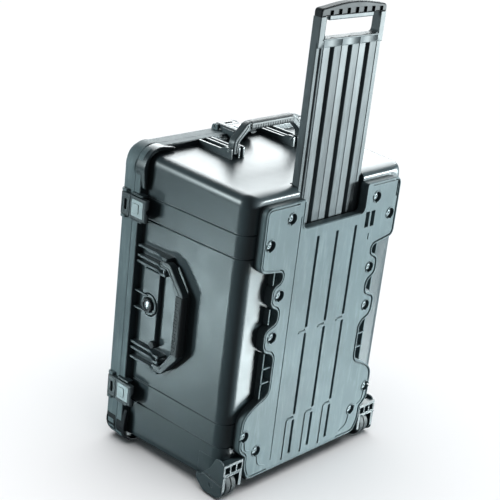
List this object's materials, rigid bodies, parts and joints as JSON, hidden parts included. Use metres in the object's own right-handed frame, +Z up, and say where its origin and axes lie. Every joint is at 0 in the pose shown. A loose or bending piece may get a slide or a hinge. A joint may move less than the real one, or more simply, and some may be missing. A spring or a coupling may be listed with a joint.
{
  "type": "hard equipment case",
  "caption": "Upright wheeled resin case with a hinged lid, throw latches, fold-down carry handles and a pull-out trolley handle behind a screwed cover.",
  "frame": {"origin": "on the floor under the middle of the object's box", "axes": "+Z up, +X across the width towards the lid hinge, +Y out of the lid, -Y out of the trolley cover"},
  "size_m": [0.504, 0.32, 0.9267],
  "materials": {
    "resin": "lightly textured black resin with a soft sheen",
    "cover": "satin grey-black moulded cover",
    "rail": "scuffed satin black moulding",
    "grip": "matt black soft grip",
    "valve": "satin black",
    "seal": "matt black polymer ring",
    "foot_rubber": "matt black",
    "tyre": "dark grey polyurethane tread",
    "steel": "zinc-plated steel"
  },
  "bodies": {
    "case": {"base_shell": "resin", "trolley_cover": "cover", "cover_screw_left_1": "steel", "cover_screw_left_2": "steel", "cover_screw_left_3": "steel", "cover_screw_left_4": "steel", "cover_screw_left_5": "steel", "cover_screw_left_6": "steel", "cover_screw_right_1": "steel", "cover_screw_right_2": "steel", "cover_screw_right_3": "steel", "cover_screw_right_4": "steel", "cover_screw_right_5": "steel", "cover_screw_right_6": "steel", "wheel_housing_left": "resin", "wheel_housing_right": "resin", "wheel_axle_left": "steel", "wheel_axle_right": "steel", "valve_collar": "resin", "side_handle_pin_lower": "steel", "side_handle_pin_upper": "steel", "top_handle_pin_left": "steel", "top_handle_pin_right": "steel", "hinge_pin_lower": "steel", "hinge_pin_upper": "steel", "rim_foot_left": "foot_rubber", "rim_foot_right": "foot_rubber", "skid_left": "resin", "skid_right": "resin"},
    "lid": {"lid_shell": "resin", "lid_seal": "seal", "latch_lower_pin": "steel", "latch_upper_pin": "steel", "latch_top_pin": "steel"},
    "latch_lower": {"latch_lower": "resin"},
    "latch_upper": {"latch_upper": "resin"},
    "latch_top": {"latch_top": "resin"},
    "side_handle": {"side_handle_frame": "resin", "side_handle_grip": "grip"},
    "top_handle": {"top_handle_frame": "resin", "top_handle_grip": "grip"},
    "trolley": {"trolley_handle": "rail", "trolley_grip": "grip"},
    "trigger": {"release_trigger": "rail"},
    "wheel_left": {"wheel_hub_left": "rail", "wheel_tyre_left": "tyre"},
    "wheel_right": {"wheel_hub_right": "rail", "wheel_tyre_right": "tyre"},
    "valve": {"valve_knob": "valve"}
  },
  "joints": [
    {"name": "lid_hinge", "type": "hinge", "parent": "case", "child": "lid", "pos_m": [0.247, 0.125, 0.317], "axis": [0, 0, -1], "range_deg": [0, 120]},
    {"name": "latch_lower_pivot", "type": "hinge", "parent": "lid", "child": "latch_lower", "pos_m": [-0.246, 0.143, 0.126], "axis": [0, 0, -1], "range_deg": [0, 100]},
    {"name": "latch_upper_pivot", "type": "hinge", "parent": "lid", "child": "latch_upper", "pos_m": [-0.246, 0.143, 0.508], "axis": [0, 0, -1], "range_deg": [0, 100]},
    {"name": "latch_top_pivot", "type": "hinge", "parent": "lid", "child": "latch_top", "pos_m": [0, 0.143, 0.626], "axis": [-1, 0, 0], "range_deg": [0, 100]},
    {"name": "side_handle_fold", "type": "hinge", "parent": "case", "child": "side_handle", "pos_m": [-0.238, 0.028, 0.317], "axis": [0, 0, -1], "range_deg": [0, 90]},
    {"name": "top_handle_fold", "type": "hinge", "parent": "case", "child": "top_handle", "pos_m": [0, 0.028, 0.621], "axis": [1, 0, 0], "range_deg": [0, 90]},
    {"name": "trolley_slide", "type": "slide", "parent": "case", "child": "trolley", "axis": [0, 0, 1], "range_m": [-0.325, 0]},
    {"name": "release_squeeze", "type": "slide", "parent": "trolley", "child": "trigger", "axis": [0, 0, 1], "range_m": [0, 0.005], "stiffness_N_per_m": 900, "springref_m": -0.001},
    {"name": "wheel_left_spin", "type": "hinge", "parent": "case", "child": "wheel_left", "pos_m": [-0.198, -0.132, 0.027], "axis": [1, 0, 0], "continuous": true},
    {"name": "wheel_right_spin", "type": "hinge", "parent": "case", "child": "wheel_right", "pos_m": [0.198, -0.132, 0.027], "axis": [1, 0, 0], "continuous": true},
    {"name": "valve_turn", "type": "hinge", "parent": "case", "child": "valve", "pos_m": [-0.23, 0.068, 0.324], "axis": [-1, 0, 0], "range_deg": [0, 180]}
  ]
}
